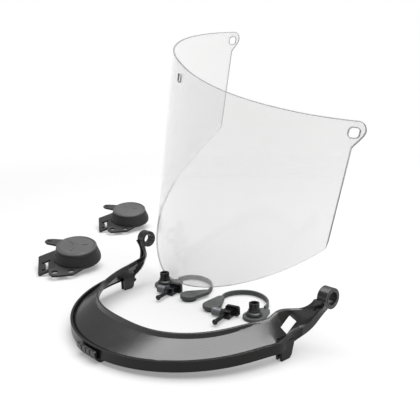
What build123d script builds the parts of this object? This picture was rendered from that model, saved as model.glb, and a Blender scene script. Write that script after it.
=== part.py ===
from build123d import *
import math
import os

os.makedirs("parts", exist_ok=True)

# A face shield laid out as a kit: the brim frame rests on its clips, the clear visor stands
# behind it, two slot caps lie to the left, two retaining straps and two push pins in front.
# Millimetres. X to the right seen from the front, Y from the front of the brim to the rear,
# Z up, floor at Z = 0. The datum is the middle of the front latch's underside.

# ---- overall sizes ----
EAR_SPAN = 224.0          # over the outer faces of the two eye bosses
SKIRT_W = 98.7            # half width of the brim over its outer skirt
SKIRT_D = 97.3            # front of the skirt to the rim's centre
RIM_CY = 94.0             # rim centre behind the datum
VISOR_H = 200.6           # visor height on its centre line
SHEET_T = 1.5             # polycarbonate sheet

# ---- fits ----
RUN = 0.05                # radial running clearance
STUB_FIT = 0.1            # radial clearance of a cap's stub in the brim's eye
GAP = 0.35                # plain gap between loose pieces
PRESS = 0.15              # interference of pressed or moulded-together pieces

# ---- brim frame ----
RIM_STEP = 15.0           # degrees between the rim's profiles
INNER_W = 87.1            # half width at the inner edge
INNER_D = 119.3           # depth of the inner edge's curve
INNER_CY = 50.9           # its centre behind the rim's centre
INNER_N = 2.7             # squareness of the inner edge
INNER_SWEEP = 0.795       # inner edge turns this much of the outer edge's angle
SKIRT_Z = 3.4             # underside of the skirt at the front
SKIRT_H = 7.6
SKIRT_T = 1.8
SKIRT_RISE = 0.05         # skirt underside climbs this much per mm to the rear
INNER_Z = 21.8            # top of the lip at the front
INNER_RISE = 0.092
LIP_H = 3.4
LIP_T = 1.6
LIP_EASE = 1.0            # run-out between band and lip
LIP_ROUND = 0.15
BAND_T = 2.6
GROOVE_D = 1.9
GROOVE_W = 2.4
GROOVE_MIN = 0.4          # material left under the groove
EYE_Y = 32.0              # eye axis behind the rim's centre
EYE_Z = 39.0
EYE_R = 7.6
EYE_L = 7.8
LEDGE = 2.0               # arm stands this proud of the boss where it ends
HUB_R = 4.6               # the stub of a cap that turns in the eye
BUSH_BORE = HUB_R + STUB_FIT
BUSH_WALL = 1.1
BUSH_R = BUSH_BORE + BUSH_WALL
BUSH_PROUD = 0.3          # bush shows this much at each face of the boss

# ---- side clips and the window above them ----
TAB_T = 1.8
LEG_T = 1.6
LEG_IN = 4.9              # leg stands this far inside the skirt
WEB_IN = 3.0
WEB_T = 4.0
TAB_OUTLINE = ((-5.4, 0.0), (2.6, 0.0), (4.8, 2.0), (8.2, 13.0), (-5.4, 13.0))
LEG_OUTLINE = ((-5.4, 0.0), (2.6, 0.0), (4.8, 2.0), (5.2, 5.2), (7.8, 6.8), (7.6, 8.4),
               (6.2, 9.2), (8.2, 15.5), (-5.4, 15.5))
WEB_OUTLINE = ((0.6, 0.8), (3.0, 0.8), (4.8, 2.6), (8.0, 14.5), (4.4, 14.5))
WINDOW_AT = (92.1, 9.4, 21.0)
WINDOW_RUN = (-0.2, 0.91, 0.36)
WINDOW_FACE = (0.72, -0.1, 0.68)
WINDOW_L = 13.0
WINDOW_W = 6.6
WINDOW_CUT = 7.0

# ---- front latch ----
LATCH_W = 24.0
LATCH_OUT = 2.9           # stands this far in front of the skirt
LATCH_H = 9.2
LATCH_FOOT = 6.6          # height of its rear block
LATCH_REAR = 8.2
RIB_PITCH = 5.6
RIB_GAP = 1.3
RIB_DEPTH = 1.2

# ---- visor ----
VIS_W = 135.9             # half axis across
VIS_D = 152.7             # half axis fore and aft
VIS_N = 2.31
VIS_ARC = 70.4            # wraps this far each side, degrees
VIS_EAR = 2.8             # the ears reach this much further
VIS_SIDE = 97.0           # straight side edge
VIS_P = 1.3               # fullness of the lower edge
EAR_DROP = 14.4
EAR_HOLE = 7.4
EAR_INSET = 8.2
EAR_HOLE_FALL = 9.0       # hole's centre below the top edge
VISOR_FOOT = (-43.05, 183.58, 0.0)   # under the lens on its leaning centre line
SLOT_W = 6.0
SLOT_H = 6.4
SLOT_AT = (-1.5, -12.5)
CUT = 20.0                # cutters run past the sheet by this much

# ---- caps ----
CAP_R = 24.0              # housing at the plate
CAP_TAPER = 3.4
CAP_TOP_R = CAP_R - CAP_TAPER
CAP_H = 12.6              # top of the housing
CAP_RIM = 1.6             # upright band at the foot of the housing
PLATE_T = 2.2
WALL = 2.0
DISC_R = CAP_TOP_R - 0.3
DISC_T = 2.4
RIM_IN = 3.1              # raised rim of the disc ends this far in
RIM_DIP = 0.6
CROWN = 0.3
MARK_AT = 8.0
MARK_L = 7.0
MARK_W = 1.6
MARK_H = 0.55
JOURNAL_R = 3.8           # hub inside the plate's bore
HUB_DROP = 9.5
HUB_TOP = 8.6
HUB_COLLAR = 4.2
HUB_COLLAR_T = 2.4
HUB_SLOT = 1.4
FINGER_BEND = CAP_R - 3.8
FINGER_L = 20.6
FINGER_W = 36.0
FINGER_DROOP = 19.0       # finger plate bends down this many degrees
FLANGE = ((-21.5, 18.0), (-21.5, -18.5), (-28.0, -20.5), (-28.6, -27.0), (-25.5, -32.5),
          (-21.0, -33.5), (-5.6, -33.5), (6.0, -23.0))
HOOK = ((-21.0, 10.0), (-19.5, 27.5), (-30.5, 34.3), (-32.5, 38.6), (-29.5, 42.3),
        (-24.0, 42.0), (-13.0, 38.5), (4.0, 22.0))
CATCH = ((7.0, -3.0), (16.2, -3.0), (16.2, 1.0), (12.8, 1.0), (12.8, 11.0), (16.2, 11.0),
         (16.2, 14.0), (9.4, 14.0), (9.4, 1.0), (7.0, 1.0))
FLANGE_HOLES = ((-22.6, -26.6), (-7.2, -27.6))
FLANGE_HOLE = 3.2
HOOK_SLOT = (-27.6, 38.0)
HOOK_SLOT_L = 5.6
HOOK_SLOT_W = 2.2
STEP_Z = 5.2              # relief in the housing wall over the finger
STEP_H = 2.6
STEP_W = 30.0
STEP_IN = 3.9

# ---- retaining straps ----
PAD_Z = 2.0
PAD_T = 3.3
PAD_R = 8.0
TIP_R = 3.4
PAD_EASE = 0.5
FOOT_IN = 1.6
FOOT_SPIGOT = 2.4
STRAP_Z = 0.4
STRAP_H = 4.4
STRAP_T = 1.6
DISH_R = 9.5
DISH_T = 2.8
LUG_R = 5.4
RING_R = 6.6
RING_T = 3.4
RING_EASE = 1.2
KNOB_R = 4.3
KNOB_H = 6.8
KNOB_WALL = 1.4
KNOB_DEEP = 2.0
KNOB_FLANGE = 0.7
KNOB_FLANGE_T = 1.2
FLUTES = 10
FLUTE_R = 0.45
STEM_R = 2.2
STEM_Z = 0.6              # stem ends this far above the floor
DISH_FIT = 0.3

# ---- push pins ----
PIN_Z = 3.6               # height of the rod's axis
ROD_R = 1.8
ROD_L = 19.0
TIP_L = 2.0
TIP_FLARE = 0.5
TIP_EASE = 0.8
SPIGOT_R = 1.2
SPIGOT_L = 5.2
COLLAR_R = 3.55
COLLAR_L = 8.0
AXLE_R = 1.8
BLOCK = (8.4, 6.6)
BLOCK_AT = (-0.6, 0.0)
BLOCK_BACK = 4.0
BLOCK_FRONT = 3.4
BLOCK_ROUND = 1.0
GRIP = (12.0, 8.2)
GRIP_AT = (-3.0, -1.4)
GRIP_T = 2.6
GRIP_ROUND = 1.6
PIN_RUN = Vector(0.31, -0.95, 0).normalized()
PIN_SIDE = Vector(-0.95, -0.31, 0).normalized()


def at(x, y, z):
    """A point given from the rim's centre."""
    return Vector(x, y + RIM_CY, z)


def power(value, exponent):
    return math.copysign(abs(value) ** exponent, value)


def between(start, end, shares):
    """A point part of the way from start to end, with its own share on each axis."""
    return Vector(*(a + (b - a) * share for a, b, share in zip(start, end, shares)))


# ---------------------------------------------------------------- brim frame
def section(outer, inner, up, height, lip):
    """Closed profile of the brim between its outer lower edge and its inner top edge."""
    up = up.normalized()
    reach = inner - outer
    across = (reach - up * reach.dot(up)).normalized()
    width = reach.dot(across)
    top = reach.dot(up)
    face = Plane(origin=outer, x_dir=across, z_dir=across.cross(up))
    floor = max(height - GROOVE_D - BAND_T, GROOVE_MIN)
    lip_foot = width - LIP_T - LIP_EASE
    points = [
        (0, 0),
        (0, height),
        (SKIRT_T, height),
        (SKIRT_T + GROOVE_W / 4, height - GROOVE_D),
        (SKIRT_T + GROOVE_W, height - GROOVE_D / 2),
        (lip_foot, top - lip),
        (width - LIP_T, top - LIP_ROUND),
        (width - LIP_T + 2 * LIP_ROUND, top),
        (width, top),
        (width, top - lip - 0.8 * BAND_T),
        (SKIRT_T + GROOVE_W, floor),
        (SKIRT_T, floor),
        (SKIRT_T, 0),
    ]
    return face, points


def rim_station(step):
    angle = math.radians(RIM_STEP * step)
    inner_angle = INNER_SWEEP * angle
    outer_y = -SKIRT_D * math.cos(angle)
    inner_y = INNER_CY - INNER_D * math.cos(inner_angle) ** (2 / INNER_N)
    outer = at(SKIRT_W * math.sin(angle), outer_y, SKIRT_Z + SKIRT_RISE * (outer_y + SKIRT_D))
    inner = at(INNER_W * power(math.sin(inner_angle), 2 / INNER_N), inner_y,
               INNER_Z + INNER_RISE * (inner_y + INNER_D - INNER_CY))
    fade = max(0.0, abs(step) - 4) / 2
    return outer, inner, Vector(0, 0, 1), SKIRT_H, LIP_H * (1 - 0.6 * fade)


# the arms climb from the ends of the rim to the eye bosses: share of the way for the outer
# lower edge and for the inner top edge, which way the profile stands, its height and its lip
ARM = (
    ((0.04, 0.48, 0.13), (0.06, 0.46, 0.18), (0.0, -0.15, 0.99), 6.4, 0.9),
    ((0.28, 0.69, 0.27), (0.23, 0.70, 0.16), (-0.10, -0.45, 0.88), 5.4, 0.6),
    ((0.53, 0.86, 0.49), (0.49, 0.88, 0.22), (-0.18, -0.76, 0.62), 5.0, 0.4),
    ((0.82, 0.99, 0.73), (0.77, 0.96, 0.50), (-0.12, -0.95, 0.30), 5.6, 0.3),
    ((1.0, 1.0, 1.0), (1.0, 1.0, 1.0), (0.0, -1.0, 0.0), 7.0, 0.3),
)
RIM_END = round(90 / RIM_STEP)
rim = [rim_station(step) for step in range(-RIM_END, RIM_END + 1)]
arm_top = EYE_Z - GROOVE_MIN
stations = []
for side in (-1, 1):
    outer_start, inner_start = (rim[-1] if side == 1 else rim[0])[:2]
    inner_end = at(side * (EAR_SPAN / 2 - EYE_L - 1.2), EYE_Y - EYE_R - LEDGE, arm_top)
    outer_end = at(side * (EAR_SPAN / 2 - GAP), inner_end.Y - RIM_CY + ARM[-1][3], arm_top)
    arm = []
    for outer_share, inner_share, up, height, lip in ARM:
        arm.append((between(outer_start, outer_end, outer_share),
                    between(inner_start, inner_end, inner_share),
                    Vector(side * up[0], up[1], up[2]), height, lip))
    stations = arm[::-1] + rim if side == -1 else stations + arm

with BuildPart() as brim_frame:
    for outer, inner, up, height, lip in stations:
        face, points = section(outer, inner, up, height, lip)
        with BuildSketch(face):
            with BuildLine():
                Polyline(*points, close=True)
            make_face()
    loft()
    for side in (-1, 1):
        boss = Plane.YZ.offset(side * (EAR_SPAN / 2 - EYE_L / 2))
        with BuildSketch(boss):
            with Locations((EYE_Y + RIM_CY, EYE_Z)):
                Circle(EYE_R)
        extrude(amount=EYE_L / 2, both=True)
        with BuildSketch(boss):
            with Locations((EYE_Y + RIM_CY, EYE_Z)):
                Circle(BUSH_R)
        extrude(amount=EYE_L, both=True, mode=Mode.SUBTRACT)
        # side clip: outer tab, inner leg and the web that joins them
        for depth, thick, outline in ((TAB_T / 2, TAB_T, TAB_OUTLINE),
                                      (LEG_IN, LEG_T, LEG_OUTLINE),
                                      (WEB_IN, WEB_T, WEB_OUTLINE)):
            with BuildSketch(Plane.YZ.offset(side * (SKIRT_W - depth))):
                with BuildLine():
                    Polyline(*((RIM_CY + y, z) for y, z in outline), close=True)
                make_face()
            extrude(amount=thick / 2, both=True)
        # window through the sloping band in front of the arm
        window = Plane(origin=at(side * WINDOW_AT[0], WINDOW_AT[1], WINDOW_AT[2]),
                       x_dir=(side * WINDOW_RUN[0], WINDOW_RUN[1], WINDOW_RUN[2]),
                       z_dir=(side * WINDOW_FACE[0], WINDOW_FACE[1], WINDOW_FACE[2]))
        with BuildSketch(window):
            Rectangle(WINDOW_L, WINDOW_W)
        extrude(amount=WINDOW_CUT, both=True, mode=Mode.SUBTRACT)
brim_frame.part.label = "brim_frame"
export_step(brim_frame.part, "parts/brim_frame.step")

# ---------------------------------------------------------------- front latch
LATCH_Y = RIM_CY - SKIRT_D
FRONT_Y = LATCH_Y - LATCH_OUT
LATCH_FACE = ((FRONT_Y, LATCH_H), (FRONT_Y + 0.3, LATCH_H - 3.6), (FRONT_Y + 3.0, 1.2),
              (FRONT_Y + 5.0, 0))
with BuildPart() as front_latch:
    with BuildSketch(Plane.YZ):
        with BuildLine():
            Polyline(*LATCH_FACE, (LATCH_REAR, 0), (LATCH_REAR + 0.8, 0.8),
                     (LATCH_REAR + 0.8, LATCH_FOOT), (LATCH_REAR - 1.0, LATCH_FOOT),
                     (LATCH_REAR - 1.0, SKIRT_Z + PRESS), (LATCH_Y - 0.7, SKIRT_Z + PRESS),
                     (LATCH_Y - 0.7, LATCH_H), close=True)
        make_face()
    extrude(amount=LATCH_W / 2, both=True)
    # finger grooves follow the curled face
    for place in (-RIB_PITCH, 0, RIB_PITCH):
        with BuildSketch(Plane.YZ.offset(place)):
            with BuildLine():
                Polyline(*((y + RIB_DEPTH, z + 0.4) for y, z in LATCH_FACE),
                         (FRONT_Y - 1, 0), (FRONT_Y - 1, LATCH_H + 1),
                         (FRONT_Y + RIB_DEPTH, LATCH_H + 1), close=True)
            make_face()
        extrude(amount=RIB_GAP / 2, both=True, mode=Mode.SUBTRACT)
front_latch.part.label = "front_latch"
export_step(front_latch.part, "parts/front_latch.step")

# ---------------------------------------------------------------- eye bushes
for tag, side in (("left", -1), ("right", 1)):
    with BuildPart() as pivot_bush:
        mid = Plane.YZ.offset(side * (EAR_SPAN / 2 - EYE_L / 2))
        with BuildSketch(mid):
            with Locations((EYE_Y + RIM_CY, EYE_Z)):
                Circle(BUSH_R - RUN)
                Circle(BUSH_BORE, mode=Mode.SUBTRACT)
        extrude(amount=EYE_L / 2 + BUSH_PROUD, both=True)
    pivot_bush.part.label = "pivot_bush_" + tag
    export_step(pivot_bush.part, "parts/pivot_bush_" + tag + ".step")

# ---------------------------------------------------------------- visor
LEAN = Vector(0.2879, -0.0607, 0.9557)
VISOR = Plane(origin=at(*VISOR_FOOT) + LEAN * VISOR_H, x_dir=(0.8767, -0.3848, -0.2886),
              z_dir=LEAN)
FRONT = Plane(origin=VISOR.origin, x_dir=VISOR.x_dir, z_dir=VISOR.y_dir * -1)
SIDE = Plane(origin=VISOR.origin, x_dir=VISOR.y_dir, z_dir=VISOR.x_dir)
EDGE_Y = -VIS_D * math.cos(math.radians(VIS_ARC)) ** (2 / VIS_N)
EAR_Y = -VIS_D * math.cos(math.radians(VIS_ARC + VIS_EAR)) ** (2 / VIS_N)
SIDE_X = VIS_W * math.sin(math.radians(VIS_ARC)) ** (2 / VIS_N)


def arc_points(inset):
    limit = VIS_ARC + VIS_EAR + 3.0
    points = []
    for step in range(-12, 13):
        angle = math.radians(limit * step / 12)
        points.append(((VIS_W - inset) * power(math.sin(angle), 2 / VIS_N),
                       -(VIS_D - inset) * math.cos(angle) ** (2 / VIS_N)))
    return points


lower = []
for step in range(-10, 11):
    share = math.sin(math.radians(9.0 * step))
    angle = math.radians(VIS_ARC * share)
    fall = VIS_SIDE + (VISOR_H - VIS_SIDE) * (1 - abs(share) ** VIS_P) ** (1 / VIS_P)
    lower.append((VIS_W * power(math.sin(angle), 2 / VIS_N), -fall))

with BuildPart() as visor_lens:
    outer_arc = arc_points(0.0)
    inner_arc = arc_points(SHEET_T)
    with BuildSketch(VISOR):
        with BuildLine():
            Spline(*outer_arc)
            Line(outer_arc[-1], inner_arc[-1])
            Spline(*reversed(inner_arc))
            Line(inner_arc[0], outer_arc[0])
        make_face()
    extrude(amount=-VISOR_H - CUT)
    # lower edge, seen from the front
    with BuildSketch(FRONT):
        with BuildLine():
            Spline(*lower)
            Polyline(lower[-1], (VIS_W + CUT, -VIS_SIDE), (VIS_W + CUT, 1),
                     (-VIS_W - CUT, 1), (-VIS_W - CUT, -VIS_SIDE), lower[0])
        make_face()
    extrude(amount=VIS_D + CUT, mode=Mode.INTERSECT)
    # side edge with its rounded ear, seen from the side
    with BuildSketch(SIDE):
        with BuildLine():
            Polyline((-VIS_D - CUT, CUT), (-VIS_D - CUT, -VISOR_H - CUT),
                     (EDGE_Y, -VISOR_H - CUT), (EDGE_Y, -EAR_DROP - 6))
            Spline((EDGE_Y, -EAR_DROP - 6), (EAR_Y - 2.6, -EAR_DROP + 0.6),
                   (EAR_Y, -EAR_DROP / 2), (EAR_Y - 2.2, -2.2), (EAR_Y - 9.0, 0.6),
                   (EAR_Y - 30.0, CUT))
            Line((EAR_Y - 30.0, CUT), (-VIS_D - CUT, CUT))
        make_face()
    extrude(amount=VIS_W + CUT, both=True, mode=Mode.INTERSECT)
    with BuildSketch(SIDE):
        with Locations((EAR_Y - EAR_INSET, -EAR_HOLE_FALL)):
            RectangleRounded(EAR_HOLE, EAR_HOLE, EAR_HOLE / 3)
    extrude(amount=VIS_W + CUT, both=True, mode=Mode.SUBTRACT)
    with BuildSketch(FRONT):
        with Locations(SLOT_AT):
            RectangleRounded(SLOT_W, SLOT_H, SLOT_W / 6)
    extrude(amount=VIS_D + CUT, mode=Mode.SUBTRACT)
visor_lens.part.label = "visor_lens"
export_step(visor_lens.part, "parts/visor_lens.step")

# ---------------------------------------------------------------- slot caps
CAPS = (
    ("front", at(-183.0, -2.7, 10.4), (0.471, 0.882, 0.0), (0.198, -0.106, 0.974)),
    ("rear", at(-278.0, 126.1, 10.6), (0.520, 0.854, 0.0), (0.203, -0.124, 0.971)),
)
for tag, spot, along, normal in CAPS:
    base = Plane(origin=spot, x_dir=along, z_dir=normal)
    with BuildPart() as cap_plate:
        with BuildSketch(base):
            Circle(CAP_R)
            for outline in (FLANGE, HOOK):
                with BuildLine():
                    Polyline(*outline, close=True)
                make_face()
        extrude(amount=PLATE_T)
        # finger plate bends down towards its free end
        droop = math.radians(FINGER_DROOP)
        bend = base.origin - base.x_dir * FINGER_BEND + base.z_dir * (PLATE_T - RUN)
        finger = Plane(origin=bend,
                       x_dir=base.x_dir * -math.cos(droop) - base.z_dir * math.sin(droop),
                       z_dir=base.z_dir * math.cos(droop) - base.x_dir * math.sin(droop))
        with BuildSketch(finger):
            with Locations((FINGER_L / 2 - 0.5, 0.0)):
                RectangleRounded(FINGER_L, FINGER_W, 1.2)
        extrude(amount=-PLATE_T)
        # hooked opening with its latch tongue
        with BuildSketch(finger):
            with BuildLine():
                Polyline(*CATCH, close=True)
            make_face()
        extrude(amount=2 * PLATE_T, both=True, mode=Mode.SUBTRACT)
        # holes in the flange, the slot in the narrow finger and the hub's bore
        with BuildSketch(base):
            with Locations(*FLANGE_HOLES):
                Circle(FLANGE_HOLE)
            with Locations(HOOK_SLOT):
                SlotOverall(HOOK_SLOT_L, HOOK_SLOT_W, rotation=-20)
            Circle(JOURNAL_R + RUN)
        extrude(amount=PLATE_T + 1, mode=Mode.SUBTRACT)
    cap_plate.part.label = "cap_plate_" + tag
    export_step(cap_plate.part, "parts/cap_plate_" + tag + ".step")

    radial = Plane(origin=spot, x_dir=base.x_dir, z_dir=base.y_dir * -1)
    with BuildPart() as cap_housing:
        with BuildSketch(radial):
            with BuildLine():
                Polyline((CAP_R - 0.3, PLATE_T), (CAP_R - 0.3, PLATE_T + CAP_RIM),
                         (CAP_TOP_R, CAP_H - 0.6), (CAP_TOP_R - 0.6, CAP_H), (0, CAP_H),
                         (0, CAP_H - WALL), (CAP_TOP_R - WALL, CAP_H - WALL),
                         (CAP_R - WALL - 0.3, PLATE_T), close=True)
            make_face()
        revolve(axis=Axis(spot, base.z_dir))
        # the wall steps back under the disc on the finger's side
        with BuildSketch(base.offset(PLATE_T + STEP_Z)):
            with Locations((-CAP_R, 0)):
                Rectangle(2 * STEP_IN, STEP_W)
        extrude(amount=STEP_H, mode=Mode.SUBTRACT)
    cap_housing.part.label = "cap_housing_" + tag
    export_step(cap_housing.part, "parts/cap_housing_" + tag + ".step")

    with BuildPart() as cap_disc:
        with BuildSketch(radial):
            with BuildLine():
                Polyline((0, CAP_H), (DISC_R - 0.4, CAP_H), (DISC_R, CAP_H + 0.5),
                         (DISC_R, CAP_H + DISC_T - 0.7), (DISC_R - 0.7, CAP_H + DISC_T),
                         (DISC_R - 1.7, CAP_H + DISC_T), (DISC_R - 2.1, CAP_H + DISC_T - RIM_DIP),
                         (DISC_R - RIM_IN + 0.4, CAP_H + DISC_T - RIM_DIP),
                         (DISC_R - RIM_IN, CAP_H + DISC_T - 0.1), (0, CAP_H + DISC_T + CROWN),
                         close=True)
            make_face()
        revolve(axis=Axis(spot, base.z_dir))
        with BuildSketch(base.offset(CAP_H + DISC_T)):
            with PolarLocations(MARK_AT, 3):
                SlotOverall(MARK_L, MARK_W)
        extrude(amount=MARK_H)
    cap_disc.part.label = "cap_disc_" + tag
    export_step(cap_disc.part, "parts/cap_disc_" + tag + ".step")

    with BuildPart() as cap_hub:
        with BuildSketch(base.offset(-HUB_DROP)):
            Circle(HUB_R)
        extrude(amount=HUB_DROP - GAP)
        with BuildSketch(base.offset(-GAP)):
            Circle(JOURNAL_R)
        extrude(amount=GAP + HUB_TOP)
        with BuildSketch(base.offset(PLATE_T + GAP)):
            Circle(JOURNAL_R + HUB_COLLAR)
        extrude(amount=HUB_COLLAR_T)
        with BuildSketch(base.offset(-HUB_DROP)):
            Rectangle(2 * HUB_R + 1, HUB_SLOT)
        extrude(amount=HUB_SLOT, mode=Mode.SUBTRACT)
    cap_hub.part.label = "cap_hub_" + tag
    export_step(cap_hub.part, "parts/cap_hub_" + tag + ".step")

# ---------------------------------------------------------------- retaining straps
STRAPS = (
    # name, pad centre, pad tip, dish centre, lug centre, lie of the strap
    ("left", (-34.0, 22.5), (-29.5, 37.5), (-76.0, 28.0), (-73.0, 40.0),
     ((-29.8, 39.5), (-37.0, 51.5), (-54.0, 60.5), (-70.0, 57.0), (-74.2, 43.0))),
    ("right", (-3.0, 21.5), (-9.5, 37.0), (34.5, 33.5), (32.6, 46.0),
     ((-9.6, 39.0), (-13.6, 52.5), (-2.0, 66.5), (15.0, 66.0), (31.0, 49.0))),
)
for tag, pad, tip, dish, lug, lie in STRAPS:
    deck = Plane(origin=at(0, 0, 0), x_dir=(1, 0, 0), z_dir=(0, 0, 1))
    with BuildPart() as strap_pad:
        with BuildSketch(deck.offset(PAD_Z)):
            with Locations(pad):
                Circle(PAD_R)
            with Locations(tip):
                Circle(TIP_R)
            make_hull()
        extrude(amount=PAD_T)
        chamfer(strap_pad.faces().sort_by(Axis.Z)[-1].edges(), length=PAD_EASE)
    strap_pad.part.label = "strap_pad_" + tag
    export_step(strap_pad.part, "parts/strap_pad_" + tag + ".step")

    with BuildPart() as pad_foot:
        with BuildSketch(deck):
            with Locations(pad):
                Circle(PAD_R - FOOT_IN)
        extrude(amount=PAD_Z)
        with BuildSketch(deck.offset(PAD_Z)):
            with Locations(pad):
                Circle(FOOT_SPIGOT)
        extrude(amount=PRESS)
    pad_foot.part.label = "pad_foot_" + tag
    export_step(pad_foot.part, "parts/pad_foot_" + tag + ".step")

    with BuildPart() as strap_band:
        with BuildSketch(deck.offset(STRAP_Z)):
            with BuildLine():
                Spline(*lie)
            trace(line_width=STRAP_T)
        extrude(amount=STRAP_H)
    strap_band.part.label = "strap_band_" + tag
    export_step(strap_band.part, "parts/strap_band_" + tag + ".step")

    with BuildPart() as strap_dish:
        with BuildSketch(deck):
            with Locations(dish):
                Circle(DISH_R)
            with Locations(lug):
                Circle(LUG_R)
            make_hull()
        extrude(amount=DISH_T)
        with BuildSketch(deck.offset(DISH_T)):
            with Locations(dish):
                Circle(STEM_R + DISH_FIT)
        extrude(amount=-DISH_T, mode=Mode.SUBTRACT)
    strap_dish.part.label = "strap_dish_" + tag
    export_step(strap_dish.part, "parts/strap_dish_" + tag + ".step")

    with BuildPart() as strap_ring:
        with BuildSketch(deck.offset(DISH_T)):
            with Locations(dish):
                Circle(RING_R)
                Circle(STEM_R + RUN, mode=Mode.SUBTRACT)
        extrude(amount=RING_T)
        chamfer(strap_ring.faces().sort_by(Axis.Z)[-1].edges()
                .sort_by(SortBy.LENGTH)[-1], length=RING_EASE)
    strap_ring.part.label = "strap_ring_" + tag
    export_step(strap_ring.part, "parts/strap_ring_" + tag + ".step")

    knob_z = DISH_T + RING_T + GAP
    with BuildPart() as strap_knob:
        with BuildSketch(deck.offset(STEM_Z)):
            with Locations(dish):
                Circle(STEM_R)
        extrude(amount=knob_z - STEM_Z + KNOB_FLANGE_T)
        with BuildSketch(deck.offset(knob_z)):
            with Locations(dish):
                Circle(KNOB_R)
        extrude(amount=KNOB_H)
        with BuildSketch(deck.offset(knob_z)):
            with Locations(dish):
                Circle(KNOB_R + KNOB_FLANGE)
        extrude(amount=KNOB_FLANGE_T)
        with BuildSketch(deck.offset(knob_z + KNOB_H - KNOB_DEEP)):
            with Locations(dish):
                Circle(KNOB_R - KNOB_WALL)
        extrude(amount=KNOB_DEEP, mode=Mode.SUBTRACT)
        with BuildSketch(deck.offset(knob_z + 2 * KNOB_FLANGE_T)):
            with Locations(dish):
                with PolarLocations(KNOB_R, FLUTES):
                    Circle(FLUTE_R)
        extrude(amount=KNOB_H, mode=Mode.SUBTRACT)
    strap_knob.part.label = "strap_knob_" + tag
    export_step(strap_knob.part, "parts/strap_knob_" + tag + ".step")

# ---------------------------------------------------------------- push pins
for tag, spot in (("left", at(-55.3, 18.0, 0)), ("right", at(17.8, 18.5, 0))):
    core = Plane(origin=spot + Vector(0, 0, PIN_Z), x_dir=PIN_SIDE, z_dir=PIN_RUN)
    with BuildPart() as pin_wing:
        with BuildSketch(core.offset(-BLOCK_BACK)):
            with Locations(BLOCK_AT):
                RectangleRounded(*BLOCK, BLOCK_ROUND)
        extrude(amount=BLOCK_BACK + BLOCK_FRONT)
        with BuildSketch(core.offset(-BLOCK_BACK - GRIP_T)):
            with Locations(GRIP_AT):
                RectangleRounded(*GRIP, GRIP_ROUND)
        extrude(amount=GRIP_T + PRESS)
        with BuildSketch(core):
            Circle(SPIGOT_R)
        extrude(amount=SPIGOT_L)
        with BuildSketch(Plane(origin=core.origin, x_dir=PIN_RUN, z_dir=PIN_SIDE)):
            Circle(AXLE_R)
        extrude(amount=COLLAR_L - GAP)
    pin_wing.part.label = "pin_wing_" + tag
    export_step(pin_wing.part, "parts/pin_wing_" + tag + ".step")

    with BuildPart() as pin_shank:
        with BuildSketch(core.offset(BLOCK_FRONT)):
            Circle(ROD_R)
        extrude(amount=ROD_L - BLOCK_FRONT)
        with BuildSketch(core.offset(ROD_L - TIP_L / 2)):
            Circle(ROD_R + TIP_FLARE)
        extrude(amount=TIP_L)
        with BuildSketch(core.offset(BLOCK_FRONT)):
            Circle(SPIGOT_R - PRESS)
        extrude(amount=SPIGOT_L - BLOCK_FRONT + GAP, mode=Mode.SUBTRACT)
        chamfer(pin_shank.faces().sort_by(Axis(core.origin, core.z_dir))[-1].edges(), length=TIP_EASE)
    pin_shank.part.label = "pin_shank_" + tag
    export_step(pin_shank.part, "parts/pin_shank_" + tag + ".step")

    with BuildPart() as pin_collar:
        across = Plane(origin=core.origin, x_dir=PIN_RUN, z_dir=PIN_SIDE)
        with BuildSketch(across.offset(BLOCK[0] / 2 - BLOCK_AT[0] - GAP)):
            Circle(COLLAR_R)
            Circle(AXLE_R - PRESS, mode=Mode.SUBTRACT)
        extrude(amount=COLLAR_L)
    pin_collar.part.label = "pin_collar_" + tag
    export_step(pin_collar.part, "parts/pin_collar_" + tag + ".step")
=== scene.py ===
import math
import bmesh
import bpy
from mathutils import Matrix, Vector
from mathutils.bvhtree import BVHTree


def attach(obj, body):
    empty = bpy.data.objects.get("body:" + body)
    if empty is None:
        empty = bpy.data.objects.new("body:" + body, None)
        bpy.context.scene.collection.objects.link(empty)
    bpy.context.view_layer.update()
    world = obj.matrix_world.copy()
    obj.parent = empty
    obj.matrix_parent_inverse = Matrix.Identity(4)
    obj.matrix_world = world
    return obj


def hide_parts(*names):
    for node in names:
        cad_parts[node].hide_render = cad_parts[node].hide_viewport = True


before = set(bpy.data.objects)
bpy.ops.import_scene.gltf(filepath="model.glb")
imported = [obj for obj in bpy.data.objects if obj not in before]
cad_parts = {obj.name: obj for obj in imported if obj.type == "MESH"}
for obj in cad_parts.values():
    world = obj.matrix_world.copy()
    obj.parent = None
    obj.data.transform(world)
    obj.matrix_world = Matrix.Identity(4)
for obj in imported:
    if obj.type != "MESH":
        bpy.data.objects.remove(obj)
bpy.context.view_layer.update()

# ---------------------------------------------------------------- brim frame
# The horseshoe brim that clips under a helmet, with an eye at the end of each arm.
# Injection moulded in one piece from glass-filled nylon with a fine satin skin.
FRAME_BLACK = (0.0050, 0.0048, 0.0046)
FRAME_SCUFF = (0.040, 0.039, 0.038)


def only(piece):
    bpy.ops.object.select_all(action="DESELECT")
    piece.select_set(True)
    bpy.context.view_layer.objects.active = piece


def pressing(node, name, flat=0.5):
    """A copy of a CAD node's shape, welded into closed faces, as the start of a finished piece.

    Faces that lie within flat degrees of one another become one face.
    """
    piece = bpy.data.objects.new(name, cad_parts[node].data.copy())
    bpy.context.scene.collection.objects.link(piece)
    only(piece)
    bpy.ops.object.mode_set(mode="EDIT")
    bpy.ops.mesh.select_all(action="SELECT")
    bpy.ops.mesh.remove_doubles(threshold=0.000002)
    if flat:
        bpy.ops.mesh.dissolve_limited(angle_limit=math.radians(flat))
    bpy.ops.object.mode_set(mode="OBJECT")
    return piece


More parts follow.
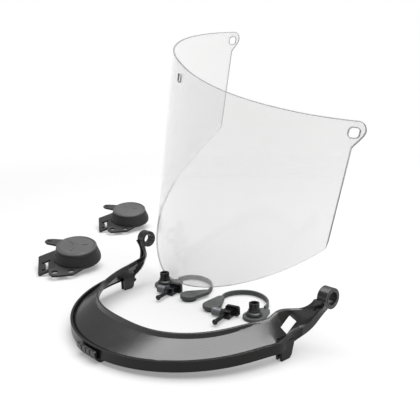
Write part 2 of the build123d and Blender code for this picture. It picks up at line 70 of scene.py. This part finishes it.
def break_edges(piece, width, segments=2):
    """Rounds the moulded edges by a small radius and keeps the flats flat."""
    only(piece)
    bevel = piece.modifiers.new("edge radius", "BEVEL")
    bevel.width = width
    bevel.segments = segments
    bevel.limit_method = "ANGLE"
    bevel.angle_limit = math.radians(30)
    bpy.ops.object.modifier_apply(modifier=bevel.name)
    bpy.ops.object.shade_smooth_by_angle(angle=math.radians(38))
    flats = piece.modifiers.new("flats", "WEIGHTED_NORMAL")
    flats.keep_sharp = True
    bpy.ops.object.modifier_apply(modifier=flats.name)


def new_group(name, inputs, outputs):
    group = bpy.data.node_groups.new(name, "ShaderNodeTree")
    for label, kind, value in inputs:
        socket = group.interface.new_socket(label, in_out="INPUT", socket_type=kind)
        socket.default_value = value
    for label, kind in outputs:
        group.interface.new_socket(label, in_out="OUTPUT", socket_type=kind)
    return group, group.nodes.new("NodeGroupInput"), group.nodes.new("NodeGroupOutput")


def maths(tree, operation, first, second, third=None):
    node = tree.nodes.new("ShaderNodeMath")
    node.operation = operation
    for socket, value in zip(node.inputs, (first, second, third)):
        if value is None:
            continue
        if isinstance(value, (int, float)):
            socket.default_value = value
        else:
            tree.links.new(value, socket)
    return node.outputs[0]


def noise(tree, scale, detail, coordinates, roughness=0.5):
    node = tree.nodes.new("ShaderNodeTexNoise")
    node.inputs["Detail"].default_value = detail
    node.inputs["Roughness"].default_value = roughness
    tree.links.new(coordinates, node.inputs["Vector"])
    if isinstance(scale, (int, float)):
        node.inputs["Scale"].default_value = scale
    else:
        tree.links.new(scale, node.inputs["Scale"])
    return node.outputs["Fac"]


def spark_grain():
    """Spark-eroded mould skin: a fine pebble, a slower flow mottle and sparse handling marks."""
    group, given, result = new_group(
        "spark_grain",
        [("Pebble", "NodeSocketFloat", 2200.0), ("Mottle", "NodeSocketFloat", 28.0)],
        [("Height", "NodeSocketFloat"), ("Mottle", "NodeSocketFloat"),
         ("Marks", "NodeSocketFloat")])
    place = group.nodes.new("ShaderNodeTexCoord").outputs["Object"]
    pebble = group.nodes.new("ShaderNodeTexVoronoi")
    group.links.new(place, pebble.inputs["Vector"])
    group.links.new(given.outputs["Pebble"], pebble.inputs["Scale"])
    fine = noise(group, given.outputs["Pebble"], 3.0, place)
    height = maths(group, "MULTIPLY_ADD", pebble.outputs["Distance"], 0.6, fine)
    group.links.new(height, result.inputs["Height"])
    mottle = noise(group, given.outputs["Mottle"], 4.0, place, 0.6)
    group.links.new(mottle, result.inputs["Mottle"])
    stretch = group.nodes.new("ShaderNodeMapping")
    stretch.inputs["Rotation"].default_value = (0.3, 0.5, 0.9)
    stretch.inputs["Scale"].default_value = (420.0, 26.0, 60.0)
    group.links.new(place, stretch.inputs["Vector"])
    scratch = noise(group, 1.0, 2.0, stretch.outputs["Vector"])
    marks = maths(group, "MULTIPLY", maths(group, "GREATER_THAN", scratch, 0.70), mottle)
    group.links.new(marks, result.inputs["Marks"])
    return group


def rubbed_edges():
    """Mask of the outer corners, where handling polishes a moulding first."""
    group, given, result = new_group(
        "rubbed_edges",
        [("Reach", "NodeSocketFloat", 0.0006), ("Breakup", "NodeSocketFloat", 160.0)],
        [("Mask", "NodeSocketFloat")])
    place = group.nodes.new("ShaderNodeTexCoord").outputs["Object"]
    corner = group.nodes.new("ShaderNodeBevel")
    corner.samples = 4
    group.links.new(given.outputs["Reach"], corner.inputs["Radius"])
    face = group.nodes.new("ShaderNodeNewGeometry")
    turn = group.nodes.new("ShaderNodeVectorMath")
    turn.operation = "DOT_PRODUCT"
    group.links.new(corner.outputs["Normal"], turn.inputs[0])
    group.links.new(face.outputs["Normal"], turn.inputs[1])
    bent = maths(group, "SUBTRACT", 1.0, turn.outputs["Value"])
    patchy = noise(group, given.outputs["Breakup"], 3.0, place)
    mask = maths(group, "MULTIPLY", maths(group, "MULTIPLY", bent, 5.0), patchy)
    limit = group.nodes.new("ShaderNodeClamp")
    group.links.new(mask, limit.inputs["Value"])
    group.links.new(limit.outputs["Result"], result.inputs["Mask"])
    return group


SPARK_GRAIN = spark_grain()
RUBBED_EDGES = rubbed_edges()


def moulded(name, colour, scuff, gloss, pebble=2200.0, bite=0.25, mottle=0.35, wear=0.5,
            specular=0.5):
    """Moulded plastic: gloss is the roughness of its shiny and of its dull patches."""
    material = bpy.data.materials.new(name)
    material.use_nodes = True
    tree = material.node_tree
    skin = tree.nodes["Principled BSDF"]
    skin.inputs["Specular IOR Level"].default_value = specular
    grain = tree.nodes.new("ShaderNodeGroup")
    grain.node_tree = SPARK_GRAIN
    grain.inputs["Pebble"].default_value = pebble
    rubbed = tree.nodes.new("ShaderNodeGroup")
    rubbed.node_tree = RUBBED_EDGES
    tone = tree.nodes.new("ShaderNodeMix")
    tone.data_type = "RGBA"
    tone.inputs["A"].default_value = (*(c * (1 - mottle) for c in colour), 1)
    tone.inputs["B"].default_value = (*(c * (1 + mottle) for c in colour), 1)
    tree.links.new(grain.outputs["Mottle"], tone.inputs["Factor"])
    worn = tree.nodes.new("ShaderNodeMix")
    worn.data_type = "RGBA"
    worn.inputs["B"].default_value = (*scuff, 1)
    tree.links.new(tone.outputs["Result"], worn.inputs["A"])
    marks = maths(tree, "MULTIPLY", grain.outputs["Marks"], 0.3)
    share = maths(tree, "ADD", rubbed.outputs["Mask"], marks)
    tree.links.new(maths(tree, "MULTIPLY", share, wear), worn.inputs["Factor"])
    tree.links.new(worn.outputs["Result"], skin.inputs["Base Color"])
    dull = tree.nodes.new("ShaderNodeMapRange")
    dull.inputs["From Min"].default_value = 0.3
    dull.inputs["From Max"].default_value = 0.7
    dull.inputs["To Min"].default_value = gloss[0]
    dull.inputs["To Max"].default_value = gloss[1]
    tree.links.new(grain.outputs["Mottle"], dull.inputs["Value"])
    polished = maths(tree, "MULTIPLY_ADD", rubbed.outputs["Mask"], -0.12 * wear,
                     dull.outputs["Result"])
    tree.links.new(polished, skin.inputs["Roughness"])
    bump = tree.nodes.new("ShaderNodeBump")
    bump.inputs["Strength"].default_value = bite
    bump.inputs["Distance"].default_value = 0.00004
    tree.links.new(grain.outputs["Height"], bump.inputs["Height"])
    tree.links.new(bump.outputs["Normal"], skin.inputs["Normal"])
    return material


def finish_piece(piece, material, body, slot, *nodes):
    piece.data.materials.clear()
    piece.data.materials.append(material)
    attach(piece, body)
    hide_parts(*nodes)


frame_satin = moulded("frame_satin", FRAME_BLACK, FRAME_SCUFF, (0.22, 0.30), pebble=2600.0,
                      bite=0.08, mottle=0.2, specular=0.6)
# shaded copies of the frame's satin: painted shade for the skirt, the recess behind it and the
# arms' webs
skirt_painted_shade = moulded("skirt_painted_shade", FRAME_BLACK, FRAME_SCUFF, (0.26, 0.36), bite=0.1, wear=0.6,
                      specular=0.24)
recess_painted_shade = moulded("recess_painted_shade", (0.0025, 0.0025, 0.0027), (0.01, 0.01, 0.01), (0.45, 0.6),
                      bite=0.3, wear=0.2, specular=0.07)
brim = pressing("brim_frame", "brim")
break_edges(brim, 0.0004)
finish_piece(brim, frame_satin, "frame", "frame_shell", "brim_frame")
brim.data.materials.append(skirt_painted_shade)
brim.data.materials.append(recess_painted_shade)
# the band keeps the plain satin and the rest is painted shade: the skirt and the webs' top and
# outer faces get a copy that reflects less, and the recess and the webs' other faces get a darker
# one that reflects almost nothing
PLAIN_SATIN, SKIRT_SHADE, DEEP_SHADE = 0, 1, 2
RIM_CENTRE_Y, SKIRT_HALF, SKIRT_DEPTH = 0.094, 0.0987, 0.0973
SKIRT_FOOT, SKIRT_CLIMB = 0.0034, 0.05      # underside at the front, and its rise to the rear
SKIRT_WALL, RECESS_WALL, RECESS_FLOOR = 0.0019, 0.0046, 0.0046
ARM_ROOT, ARM_WEB = 0.004, 0.015            # behind the rim's centre
# each face goes to the lit satin or to one of the painted-shade copies by where it sits
for face in brim.data.polygons:
    x, y, z = face.center.x, face.center.y - RIM_CENTRE_Y, face.center.z
    inset = SKIRT_HALF * (1 - math.hypot(x / SKIRT_HALF, y / SKIRT_DEPTH))
    rise = z - (SKIRT_FOOT + SKIRT_CLIMB * (y + SKIRT_DEPTH))
    outward, upward = face.normal.x * x > 0, face.normal.z
    shade_step = PLAIN_SATIN
    if y < ARM_ROOT:
        if inset < SKIRT_WALL:
            shade_step = SKIRT_SHADE
        elif inset < RECESS_WALL and rise > RECESS_FLOOR and upward > -0.3:
            shade_step = DEEP_SHADE
    elif y < ARM_WEB:
        shade_step = SKIRT_SHADE if upward > 0.75 or outward else DEEP_SHADE
    face.material_index = shade_step

# ---------------------------------------------------------------- front latch
# The finger latch under the middle of the brim's skirt.
# Moulded in the same nylon and snapped on; its ribs are for a gloved thumb.
latch_satin = moulded("latch_satin", FRAME_BLACK, (0.16, 0.155, 0.15), (0.28, 0.40), bite=0.3,
                      wear=0.8)
latch = pressing("front_latch", "latch")
break_edges(latch, 0.00035)
finish_piece(latch, latch_satin, "frame", "frame_shell", "front_latch")

# ---------------------------------------------------------------- eye bushes
# Plain bearings pressed into the brim's two eyes, in which the caps' stubs turn.
# Dark acetal, turned bright by the tool on the bore.
bush_acetal = moulded("bush_acetal", (0.012, 0.012, 0.012), (0.05, 0.05, 0.05), (0.22, 0.32),
                      bite=0.05)
for side in ("left", "right"):
    bush = pressing("pivot_bush_" + side, "bush_" + side)
    break_edges(bush, 0.0002)
    finish_piece(bush, bush_acetal, "bush_" + side, "bush_grey", "pivot_bush_" + side)

# ---------------------------------------------------------------- visor
# The face window, sawn from optical polycarbonate sheet and formed to a curve.
# The faces are clear with a faint milk and vertical streaks of painted reflection; the sawn edge
# is painted dark grey as painted shade for the light it bends away.
SHEET = 0.0015
MILK = (0.67, 0.665, 0.665)


def clear_sheet():
    material = bpy.data.materials.new("clear_sheet")
    material.use_nodes = True
    tree = material.node_tree
    skin = tree.nodes["Principled BSDF"]
    skin.inputs["Roughness"].default_value = 0.06
    skin.inputs["IOR"].default_value = 1.58
    place = tree.nodes.new("ShaderNodeTexCoord").outputs["Object"]
    # noise stretched upright draws vertical streaks into the milk tint as painted reflections;
    # the cloud is a slow random change of the milk and of the clarity
    reflection_streak_axes = tree.nodes.new("ShaderNodeMapping")
    reflection_streak_axes.inputs["Rotation"].default_value = (0.0, 0.30, 0.0)
    reflection_streak_axes.inputs["Scale"].default_value = (46.0, 46.0, 1.6)
    tree.links.new(place, reflection_streak_axes.inputs["Vector"])
    painted_reflection_streak = noise(tree, 1.0, 3.0, reflection_streak_axes.outputs["Vector"])
    cloud = noise(tree, 9.0, 2.0, place)
    tint = tree.nodes.new("ShaderNodeMix")
    tint.data_type = "RGBA"
    tint.inputs["A"].default_value = (*(c * 0.93 for c in MILK), 1)
    tint.inputs["B"].default_value = (*(min(1.0, c * 1.05) for c in MILK), 1)
    blend = maths(tree, "MULTIPLY_ADD", painted_reflection_streak, 0.5, maths(tree, "MULTIPLY", cloud, 0.5))
    tree.links.new(blend, tint.inputs["Factor"])
    tree.links.new(tint.outputs["Result"], skin.inputs["Base Color"])
    tree.links.new(maths(tree, "MULTIPLY_ADD", cloud, 0.06, 0.24), skin.inputs["Alpha"])
    return material


def sawn_edge():
    material = bpy.data.materials.new("sawn_edge")
    material.use_nodes = True
    tree = material.node_tree
    skin = tree.nodes["Principled BSDF"]
    skin.inputs["Roughness"].default_value = 0.35
    place = tree.nodes.new("ShaderNodeTexCoord").outputs["Object"]
    # the edge's patchy dark grey, nearly opaque, is painted shade for the light the sawn edge
    # bends away
    painted_edge_shade = tree.nodes.new("ShaderNodeMix")
    painted_edge_shade.data_type = "RGBA"
    painted_edge_shade.inputs["A"].default_value = (0.05, 0.05, 0.05, 1)
    painted_edge_shade.inputs["B"].default_value = (0.20, 0.20, 0.20, 1)
    tree.links.new(noise(tree, 30.0, 4.0, place), painted_edge_shade.inputs["Factor"])
    tree.links.new(painted_edge_shade.outputs["Result"], skin.inputs["Base Color"])
    patches = noise(tree, 55.0, 2.0, place)
    tree.links.new(maths(tree, "MULTIPLY_ADD", patches, 0.2, 0.88), skin.inputs["Alpha"])
    return material


visor = pressing("visor_lens", "visor", flat=0)
finish_piece(visor, clear_sheet(), "visor", "clear_sheet", "visor_lens")
visor.data.materials.append(sawn_edge())
# a face with the sheet's other face close behind it is a clear one, and the rest are the edge
CLEAR, SAWN = 0, 1
SKIN_DEEP, CLOSE_BEHIND = 0.0001, 1.6 * SHEET
walls = bmesh.new()
walls.from_mesh(visor.data)
faces_by_place = BVHTree.FromBMesh(walls)
for face in walls.faces:
    inside = face.calc_center_median() - face.normal * SKIN_DEEP
    depth = faces_by_place.ray_cast(inside, -face.normal)[3]
    face.material_index = CLEAR if depth is not None and depth < CLOSE_BEHIND else SAWN
walls.to_mesh(visor.data)
walls.free()
# the sawn edge is eased by a scraper, and the narrow facets catch the light with it
only(visor)
ease = visor.modifiers.new("scraped edge", "BEVEL")
ease.width = 0.00042
ease.segments = 2
ease.use_clamp_overlap = False
ease.limit_method = "ANGLE"
ease.angle_limit = math.radians(60)
ease.material = SAWN
bpy.ops.object.modifier_apply(modifier=ease.name)
bpy.ops.object.shade_smooth_by_angle(angle=math.radians(28))

# ---------------------------------------------------------------- slot caps
# Two adaptors that plug into the helmet's side slots: a flanged plate, a drum, a lid with a
# raised rim, and a turning hub underneath. Moulded in a duller nylon than the brim.
cap_matt = moulded("cap_matt", (0.010, 0.010, 0.0105), (0.07, 0.07, 0.07), (0.45, 0.60),
                   pebble=1500.0, bite=0.55, specular=0.28)
lid_matt = moulded("lid_matt", (0.032, 0.032, 0.033), (0.12, 0.12, 0.12), (0.42, 0.55),
                   pebble=1700.0, bite=0.6, specular=0.4)
hub_nylon = moulded("hub_nylon", (0.016, 0.016, 0.016), (0.06, 0.06, 0.06), (0.25, 0.4), bite=0.1)
for tag in ("front", "rear"):
    for node, name, edge, material in (("cap_plate_", "plate_", 0.0004, cap_matt),
                                       ("cap_housing_", "drum_", 0.0006, cap_matt),
                                       ("cap_disc_", "lid_", 0.0003, lid_matt)):
        piece = pressing(node + tag, name + tag)
        break_edges(piece, edge)
        finish_piece(piece, material, "cap_" + tag, "cap_plastic", node + tag)
    hub = pressing("cap_hub_" + tag, "hub_stub_" + tag)
    break_edges(hub, 0.0003)
    finish_piece(hub, hub_nylon, "hub_" + tag, "black_nylon", "cap_hub_" + tag)

# ---------------------------------------------------------------- retaining straps
# Two elastomer straps: a teardrop pad on a dark nylon foot, a band that loops round to a
# round dish, a collar ring on the dish, and a turning knob with a recessed top.
pad_rubber = moulded("pad_rubber", (0.034, 0.037, 0.036), (0.15, 0.155, 0.155), (0.48, 0.62),
                     pebble=1900.0, bite=0.4, specular=0.4)
ring_rubber = moulded("ring_rubber", (0.014, 0.0145, 0.015), (0.16, 0.16, 0.16), (0.25, 0.36),
                      bite=0.1)
knob_nylon = moulded("knob_nylon", (0.004, 0.004, 0.0045), (0.05, 0.05, 0.05), (0.15, 0.25),
                     bite=0.08, specular=0.35)
for tag in ("left", "right"):
    for node, name, edge, material, slot in (
            ("strap_pad_", "pad_", 0.0006, pad_rubber, "soft_grey"),
            ("pad_foot_", "foot_", 0.0003, knob_nylon, "black_nylon"),
            ("strap_band_", "band_", 0.0003, pad_rubber, "soft_grey"),
            ("strap_dish_", "dish_", 0.0006, pad_rubber, "soft_grey"),
            ("strap_ring_", "ring_", 0.0005, ring_rubber, "ring_grey")):
        piece = pressing(node + tag, name + tag)
        break_edges(piece, edge, 3)
        finish_piece(piece, material, "strap_" + tag, slot, node + tag)
    knob = pressing("strap_knob_" + tag, "knob_top_" + tag)
    break_edges(knob, 0.0002)
    finish_piece(knob, knob_nylon, "knob_" + tag, "black_nylon", "strap_knob_" + tag)

# ---------------------------------------------------------------- push pins
# Two quick-release pins: a winged grip and block, a rod with a swollen tip, and a grey
# collar on the cross axle. Glossy black nylon, tumbled until its edges shine.
pin_gloss = moulded("pin_gloss", (0.004, 0.004, 0.0045), (0.04, 0.04, 0.04), (0.12, 0.2),
                    bite=0.06, mottle=0.15, specular=0.35)
collar_grey = moulded("collar_grey", (0.060, 0.067, 0.072), (0.35, 0.36, 0.37), (0.30, 0.42),
                      bite=0.15)
for tag in ("left", "right"):
    for node, name, edge, material, slot in (
            ("pin_wing_", "grip_", 0.0004, pin_gloss, "black_nylon"),
            ("pin_shank_", "rod_", 0.0002, pin_gloss, "black_nylon"),
            ("pin_collar_", "collar_", 0.0003, collar_grey, "collar_grey")):
        piece = pressing(node + tag, name + tag)
        break_edges(piece, edge, 3)
        finish_piece(piece, material, "pin_" + tag, slot, node + tag)

# ---------------------------------------------------------------- studio
# A sheet of white paper that runs out into a white horizon, a dimmer room above it, and one
# wide softbox overhead that draws the long highlight along the brim.
PAPER_GREY, PAPER_GLOW = 0.27, 0.28
PAPER_WHOLE, PAPER_GONE = 0.40, 1.1         # the sheet fades out between these distances
bpy.ops.object.select_all(action="DESELECT")
bpy.ops.mesh.primitive_plane_add(size=3.0, location=(0, 0, -0.0002))
sweep = bpy.context.object
sweep.name = "studio_floor"
paper = bpy.data.materials.new("white_paper")
paper.use_nodes = True
paper_skin = paper.node_tree.nodes["Principled BSDF"]
paper_skin.inputs["Base Color"].default_value = (PAPER_GREY, PAPER_GREY, PAPER_GREY, 1)
paper_skin.inputs["Roughness"].default_value = 0.9
paper_skin.inputs["Specular IOR Level"].default_value = 0.1
paper_skin.inputs["Emission Color"].default_value = (1, 1, 1, 1)
paper_skin.inputs["Emission Strength"].default_value = PAPER_GLOW
reach = paper.node_tree.nodes.new("ShaderNodeVectorMath")
reach.operation = "LENGTH"
where = paper.node_tree.nodes.new("ShaderNodeTexCoord")
paper.node_tree.links.new(where.outputs["Object"], reach.inputs[0])
fade = paper.node_tree.nodes.new("ShaderNodeMapRange")
fade.interpolation_type = "SMOOTHSTEP"
fade.inputs["From Min"].default_value = PAPER_WHOLE
fade.inputs["From Max"].default_value = PAPER_GONE
fade.inputs["To Min"].default_value = 1.0
fade.inputs["To Max"].default_value = 0.0
paper.node_tree.links.new(reach.outputs["Value"], fade.inputs["Value"])
paper.node_tree.links.new(fade.outputs["Result"], paper_skin.inputs["Alpha"])
sweep.data.materials.append(paper)

room = bpy.data.worlds.new("studio")
bpy.context.scene.world = room
room.use_nodes = True
air = room.node_tree
height = air.nodes.new("ShaderNodeSeparateXYZ")
air.links.new(air.nodes.new("ShaderNodeTexCoord").outputs["Generated"], height.inputs["Vector"])
sky = air.nodes.new("ShaderNodeValToRGB")
air.links.new(height.outputs["Z"], sky.inputs["Fac"])
sky.color_ramp.elements[0].position = 0.11
sky.color_ramp.elements[0].color = (1, 1, 1, 1)
sky.color_ramp.elements[1].position = 1.0
sky.color_ramp.elements[1].color = (0.5, 0.5, 0.5, 1)
for place, level in ((0.17, 0.36), (0.42, 0.42)):
    sky.color_ramp.elements.new(place).color = (level, level, level, 1)
air.links.new(sky.outputs["Color"], air.nodes["Background"].inputs["Color"])


def softbox(name, place, aim, width, height, power):
    lamp = bpy.data.lights.new(name, "AREA")
    lamp.shape = "RECTANGLE"
    lamp.size = width
    lamp.size_y = height
    lamp.energy = power
    box = bpy.data.objects.new(name, lamp)
    bpy.context.scene.collection.objects.link(box)
    turn = (Vector(aim) - Vector(place)).to_track_quat("-Z", "Y").to_matrix().to_4x4()
    box.matrix_world = Matrix.Translation(place) @ turn


softbox("overhead", (0.3, 0.42, 1.5), (0.3, 0.421, 0.0), width=2.6, height=1.75, power=98.0)

# the camera looks from the front right, a little above the table, and leans very slightly
AZIMUTH, HEIGHT, ROLL = math.radians(48.8), math.radians(13.4), math.radians(-1.6)
CAMERA_AT = (0.350, -0.1928, 0.1972)
FOCAL_SHARE = 10 / 7                        # focal length over the sensor's width
back = Vector((math.sin(AZIMUTH) * math.cos(HEIGHT), -math.cos(AZIMUTH) * math.cos(HEIGHT),
               math.sin(HEIGHT)))
sideways = Vector((math.cos(AZIMUTH), math.sin(AZIMUTH), 0))
upright = back.cross(sideways)
across = sideways * math.cos(ROLL) + upright * math.sin(ROLL)
above = upright * math.cos(ROLL) - sideways * math.sin(ROLL)
lens = bpy.data.cameras.new("camera")
lens.sensor_width = 36
lens.lens = lens.sensor_width * FOCAL_SHARE
camera = bpy.data.objects.new("camera", lens)
bpy.context.scene.collection.objects.link(camera)
stand = Matrix((across, above, back)).transposed().to_4x4()
camera.matrix_world = Matrix.Translation(CAMERA_AT) @ stand
bpy.context.scene.camera = camera
bpy.context.scene.view_settings.view_transform = "Standard"
